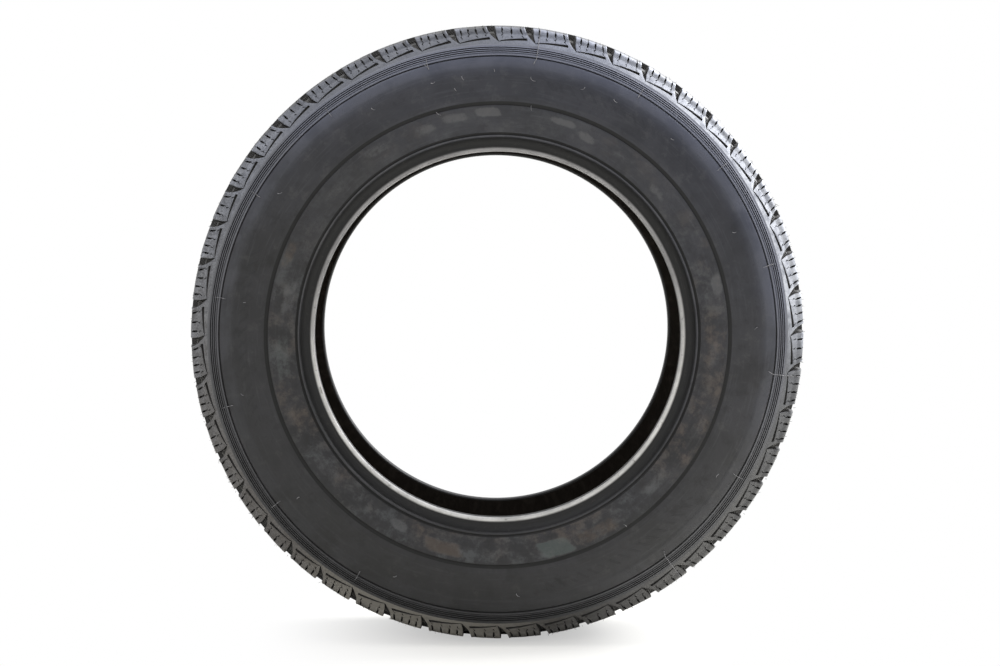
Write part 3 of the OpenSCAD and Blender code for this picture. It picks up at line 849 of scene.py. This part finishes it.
def make_sidewall_rubber():
    """Sidewall compound: smooth moulded rubber gone satin, with a cloudy bloom that is partly
    painted bluish sheen, rub marks that run round it, faint cracks across them and paler scuffed
    patches over the rim. Painted highlights lie on the raised lines and the plain band by the
    tread, and painted shade in the moulded lines."""
    ring = Ring("sidewall_rubber")
    add = ring.add
    deep, proud, pale, brown = ring.marks("deep", "proud", "pale", "brown")
    clouds = add("TexNoise", ring.place, 22.0, 5.0, 0.6, None, 0.4)
    fine = add("TexNoise", ring.place, 420.0, 2.0)
    rubs = add("TexNoise", ring.place, 60.0, 4.0, 0.7)
    streak = add("TexNoise", ring.round_vector(420.0, 7.0), 1.0, 4.0, 0.6)
    # A weight that grows towards the top, which fades the painted light below towards the bottom
    more_towards_top = add("MapRange", ring.z, -0.22, 0.12, 0.25, 1.0, **EASE)
    colour = add("Mix", add("MapRange", clouds, 0.35, 0.65, **EASE), linear("#262628"),
                 linear("#313134"), **COLOUR)
    colour = add("Mix", add("MapRange", streak, 0.5, 0.75, 0.0, 0.3, **EASE), colour,
                 linear("#434347"), **COLOUR)
    colour = add("Mix", add("MapRange", rubs, 0.52, 0.7, 0.0, 0.45, **EASE), colour,
                 linear("#1a1919"), **COLOUR)
    colour = add("Mix", add("MapRange", rubs, 0.46, 0.3, 0.0, 0.25, **EASE), colour,
                 linear("#4b4a4a"), **COLOUR)
    # Outside the shallow step the wall is paler, partly rubbed and partly painted light that fades
    # towards the bottom, most of all on the plain band by the tread
    outer = add("Math", add("MapRange", ring.r, (STEP_R - 5) * MM, (STEP_R + 4) * MM, **EASE),
                more_towards_top, **MULTIPLY)
    rubbed_and_lit = add("MapRange", clouds, 0.3, 0.6, 0.15, 0.4, **EASE)
    colour = add("Mix", add("Math", outer, rubbed_and_lit, **MULTIPLY), colour, linear("#55565c"), **COLOUR)
    # Painted highlight on the crests of the raised lines, fading towards the bottom
    crest_highlight = add("MapRange", proud, 0.2, 0.42, 0.0, 0.5, **EASE)
    crest_highlight = add("Math", crest_highlight, add("MapRange", more_towards_top, 0.2, 1.0, 0.4, 1.0), **MULTIPLY)
    colour = add("Mix", crest_highlight, colour, linear("#77787e"), **COLOUR)
    # Painted highlight on the plain band by the tread, fading towards the bottom
    plain = add("MapRange", ring.r, (RIB_TOP_R - 0.5) * MM, (RIB_TOP_R + 0.5) * MM, 0.0, 0.62,
                **EASE)
    plain = add("Math", plain, more_towards_top, **MULTIPLY)
    colour = add("Mix", plain, colour, linear("#7b7c80"), **COLOUR)
    # Plain generic bars in low relief
    foot = add("MapRange", ring.r, BARS_FOOT_R * MM, (BARS_FOOT_R + 0.7) * MM, **EASE)
    top = add("MapRange", ring.r, BARS_TOP_R * MM, (BARS_TOP_R + 0.7) * MM, 1.0, 0.0, **EASE)
    window = add("Math", foot, top, **MULTIPLY)
    slant = add("Math", ring.angle, 140.0, add("Math", ring.r, 500.0, **MULTIPLY), **MULTIPLY_ADD)
    bars = add("MapRange", add("Math", slant, **SINE), 0.45, 0.65, **EASE)
    arcs = add("Math", add("Math", ring.angle, 3.0, **MULTIPLY), **SINE)
    bars = add("Math", add("Math", bars, window, **MULTIPLY),
               add("MapRange", arcs, 0.45, 0.55, **EASE), **MULTIPLY)
    colour = add("Mix", add("Math", bars, 0.25, **MULTIPLY), colour, linear("#1c1c1e"), **COLOUR)
    # Bluish, growing towards the tread, partly wax bloom and partly painted sheen; darker towards
    # the bottom
    reach = add("MapRange", ring.r, (STEP_R - 12) * MM, (STEP_R + 18) * MM, 0.04, 0.2, **EASE)
    colour = weather_and_sheen(ring, colour, reach, "#6f7898", 0.42, "#242424")
    # The band over the rim is scuffed all round, cloudy and a little brown
    foot = add("MapRange", ring.r, (BAND_FOOT_R - 2.5) * MM, (BAND_FOOT_R + 1.5) * MM, **EASE)
    top = add("MapRange", ring.r, (BAND_TOP_R - 4.5) * MM, (BAND_TOP_R + 0.5) * MM, 1.0, 0.0,
              **EASE)
    band = add("Math", foot, top, **MULTIPLY)
    scuffs = add("TexNoise", ring.place, 52.0, 6.0, 0.7, None, 0.15)
    tints = add("TexNoise", ring.place, 17.0, 2.0)
    band = add("Math", band, add("MapRange", ring.z, 0.0, 0.16, 1.0, 0.3, **EASE), **MULTIPLY)
    scuffed = add("Math", add("MapRange", scuffs, 0.44, 0.66, 0.0, 0.5, **EASE), band, **MULTIPLY)
    warm = add("Mix", add("MapRange", tints, 0.4, 0.6, **EASE), linear("#535557"),
               linear("#59504a"), **COLOUR)
    colour = add("Mix", scuffed, colour, warm, **COLOUR)
    hollows = add("Math", add("MapRange", scuffs, 0.46, 0.3, 0.0, 0.5, **EASE), band, **MULTIPLY)
    colour = add("Mix", hollows, colour, linear("#232221"), **COLOUR)
    # Patches with broken edges
    frayed = add("Math", add("TexNoise", ring.place, 70.0, 6.0, 0.8), 1.4, pale, **MULTIPLY_ADD)
    spot = add("MapRange", frayed, 0.9, 1.35, 0.0, 0.42, **EASE)
    spot = add("Math", spot, add("MapRange", pale, 0.05, 0.6, **EASE), **MULTIPLY)
    stain = add("Mix", add("MapRange", brown, 0.1, 0.8, **EASE), linear("#5c5c5e"),
                linear("#574a3f"), **COLOUR)
    stain = add("Mix", add("MapRange", brown, -0.5, -0.1, 1.0, 0.0, **EASE), stain,
                linear("#525b59"), **COLOUR)
    colour = add("Mix", spot, colour, stain, **COLOUR)
    # Painted shade in every moulded line
    colour = add("Mix", add("MapRange", deep, 0.12, 0.5, 0.0, 0.88, **EASE), colour,
                 linear("#0c0c0c"), **COLOUR)
    crack = add("TexVoronoi", ring.round_vector(160.0, 160.0), 1.0, feature="DISTANCE_TO_EDGE")
    cracked = add("Math", add("MapRange", crack, 0.0, 0.035, 1.0, 0.0, **EASE),
                  add("MapRange", clouds, 0.5, 0.66, 0.0, 0.5, **EASE), **MULTIPLY)
    colour = add("Mix", cracked, colour, linear("#1c1b1b"), **COLOUR)
    rough = add("MapRange", clouds, 0.3, 0.7, 0.5, 0.62, **EASE)
    height = add("Math", fine, 0.25, add("Math", streak, 0.35, **MULTIPLY), **MULTIPLY_ADD)
    height = add("Math", height, cracked, **SUBTRACT)
    height = add("Math", bars, 1.0, height, **MULTIPLY_ADD)
    return ring.finish(colour, rough, height, 0.16, 0.22)


def make_bead_rubber():
    """Bead: hard rubber chafer, moulded smooth and polished by the rim, with rub marks round it and
    a painted highlight as a pale line round the heel, paler towards the bottom."""
    ring = Ring("bead_rubber")
    add = ring.add
    streak = add("TexNoise", ring.round_vector(1100.0, 8.0), 1.0, 4.0, 0.65)
    clouds = add("TexNoise", ring.place, 35.0, 4.0, 0.6)
    face = add("Math", ring.y, operation="ABSOLUTE")
    # Painted highlight: a pale line round the heel, paler towards the bottom
    near = add("MapRange", ring.r, (BEAD_R + 2.3) * MM, (BEAD_R + 5) * MM, 1.0, 0.0, **EASE)
    outside = add("MapRange", face, (HEEL_W - 5) * MM, (HEEL_W - 3) * MM, **EASE)
    heel_highlight_mask = add("Math", near, outside, **MULTIPLY)
    heel_highlight_mask = add("Math", heel_highlight_mask, add("MapRange", clouds, 0.3, 0.7, 0.7, 1.0, **EASE), **MULTIPLY)
    # The base is kept very dark, partly the rubber's own black and partly painted shade for the
    # hollow next to the bead, which this rubber also covers
    colour = add("Mix", add("MapRange", streak, 0.45, 0.75, 0.0, 0.6, **EASE), linear("#161617"),
                 linear("#2a2a2c"), **COLOUR)
    heel_highlight = add("Mix", add("MapRange", ring.z, -0.06, 0.08, **EASE), linear("#d0cfce"),
                 linear("#8a898b"), **COLOUR)
    colour = add("Mix", heel_highlight_mask, colour, heel_highlight, **COLOUR)
    specks = add("MapRange", add("TexNoise", ring.place, 260.0, 3.0), 0.6, 0.75, 0.0, 0.5, **EASE)
    colour = add("Mix", specks, colour, linear("#2c2a29"), **COLOUR)
    rough = add("MapRange", streak, 0.3, 0.7, 0.5, 0.65, **EASE)
    return ring.finish(colour, rough, streak, 0.08, 0.22)


def make_liner_rubber():
    """Inner liner: butyl left dull by the curing bladder, warm black with dried soap streaks."""
    ring = Ring("liner_rubber")
    add = ring.add
    streak = add("TexNoise", ring.round_vector(60.0, 30.0), 1.0, 4.0, 0.6)
    weave = add("TexWave", ring.place, 140.0, 1.5, wave_type="BANDS", bands_direction="DIAGONAL",
                out="Fac")
    dried = add("MapRange", streak, 0.45, 0.75, 0.0, 0.6, **EASE)
    colour = add("Mix", dried, linear("#302b27"), linear("#4c453f"), **COLOUR)
    rough = add("MapRange", streak, 0.3, 0.7, 0.55, 0.75, **EASE)
    return ring.finish(colour, rough, weave, 0.1, 0.3)


def make_loose_rubber(name, dark, dusty):
    """Free rubber hairs: thin moulded threads, dusty outside."""
    ring = Ring(name)
    add = ring.add
    dust = add("TexNoise", ring.place, 500.0, 2.0)
    colour = add("Mix", add("MapRange", dust, 0.35, 0.65, **EASE), linear(dark), linear(dusty),
                 **COLOUR)
    return ring.finish(colour, add("MapRange", dust, 0.3, 0.7, 0.6, 0.8, **EASE), dust, 0.05, 0.4)


tread_rubber = make_tread_rubber()
wall_rubber = make_sidewall_rubber()
bead_rubber = make_bead_rubber()
liner_rubber = make_liner_rubber()
hair_rubber = make_loose_rubber("hair_rubber", "#55555a", "#828184")
feather_rubber = make_loose_rubber("feather_rubber", "#2e2e30", "#565553")

# ---------------------------------------------------------------- pieces
RINGS = (
    ("shoulder", shoulder, [tread_rubber, liner_rubber]),
    ("crown", crown, [tread_rubber, liner_rubber]),
    ("sidewall", sidewall, [wall_rubber, bead_rubber, liner_rubber]),
)
for side, word in WORD.items():
    for name, ring, rubbers in RINGS:
        t, r, w, index, marks = ring(side)
        ring_mesh(f"{name}_{word}", t, r, w, side, rubbers, index, **marks)
    vent_hairs(side)
    mould_flash(side)
    feathers(side)


# ---------------------------------------------------------------- stage, light and camera
FLOOR_HALF = 3.0
# Soft panels: place and width in metres, power in watts and tint
PANELS = (
    ("key_panel", (1.35, 0.7, 1.25), 1.4, 150, "#fbfcff"),
    ("top_panel", (-0.7, -0.2, 2.0), 1.2, 33, "#fbfcff"),
    ("front_panel", (-1.0, -2.8, 1.0), 1.6, 14, "#fffefa"),
)
# Where the camera stands in metres, its lens in mm, and how far it looks down and right in degrees
CAMERA_AT = (-0.0286, -2.3325, 0.1263)
LENS = 78.6
LOOK_DOWN = 3.15
LOOK_RIGHT = 0.78


def studio():
    """White world and paper floor, soft panels above, at the right and in front."""
    scene = bpy.context.scene
    scene.view_settings.view_transform = "Standard"
    world = bpy.data.worlds.new("studio")
    scene.world = world
    world.use_nodes = True
    tree = world.node_tree
    tree.nodes.clear()
    add = functools.partial(node, tree)
    path = add("LightPath").node.outputs
    seen = add("Math", path["Is Glossy Ray"], path["Is Transmission Ray"], operation="MAXIMUM")
    seen = add("Math", path["Is Camera Ray"], seen, operation="MAXIMUM")
    soft = add("Background", linear("#ffffff"), 0.4)
    white = add("Background", linear("#ffffff"), 1.0)
    add("OutputWorld", add("MixShader", seen, soft, white))

    # Matt white paper that goes over into the white background away from the tyre
    mesh = bpy.data.meshes.new("floor")
    half, z = FLOOR_HALF, FLAT_Z * MM
    corners = [(-half, -half, z), (half, -half, z), (half, half, z), (-half, half, z)]
    mesh.from_pydata(corners, [], [(0, 1, 2, 3)])
    floor = bpy.data.objects.new("floor", mesh)
    scene.collection.objects.link(floor)
    paper = bpy.data.materials.new("white_paper")
    paper.use_nodes = True
    tree = paper.node_tree
    tree.nodes.clear()
    add = functools.partial(node, tree)
    flat = add("VectorMath", add("TexCoord", out="Object"), (1.0, 0.75, 0.0), **MULTIPLY)
    away = add("VectorMath", flat, operation="LENGTH")
    matt = add("BsdfDiffuse", linear("#f5f3ea"))
    glow = add("Emission", linear("#ffffff"), 1.0)
    fade = add("MapRange", away, 0.03, 0.27, 0.48, 1.0, **EASE)
    fade = add("Math", fade, add("LightPath", out="Is Camera Ray"), **MULTIPLY)
    add("OutputMaterial", add("MixShader", fade, matt, glow))
    mesh.materials.append(paper)

    for name, place, size, power, tint in PANELS:
        light = bpy.data.lights.new(name, "AREA")
        light.size = size
        light.energy = power
        light.color = linear(tint)[:3]
        lamp = bpy.data.objects.new(name, light)
        lamp.location = place
        x, y, z = (-c for c in place)
        lamp.rotation_euler = (math.atan2(math.hypot(x, y), -z), 0, math.atan2(x, -y) + math.pi)
        scene.collection.objects.link(lamp)


def camera():
    """A long lens in front of the tyre, a little above the axle."""
    data = bpy.data.cameras.new("camera")
    data.lens = LENS
    data.sensor_width = 36.0
    cam = bpy.data.objects.new("camera", data)
    cam.location = CAMERA_AT
    cam.rotation_euler = (math.radians(90 - LOOK_DOWN), 0, math.radians(-LOOK_RIGHT))
    bpy.context.scene.collection.objects.link(cam)
    bpy.context.scene.camera = cam


studio()
camera()
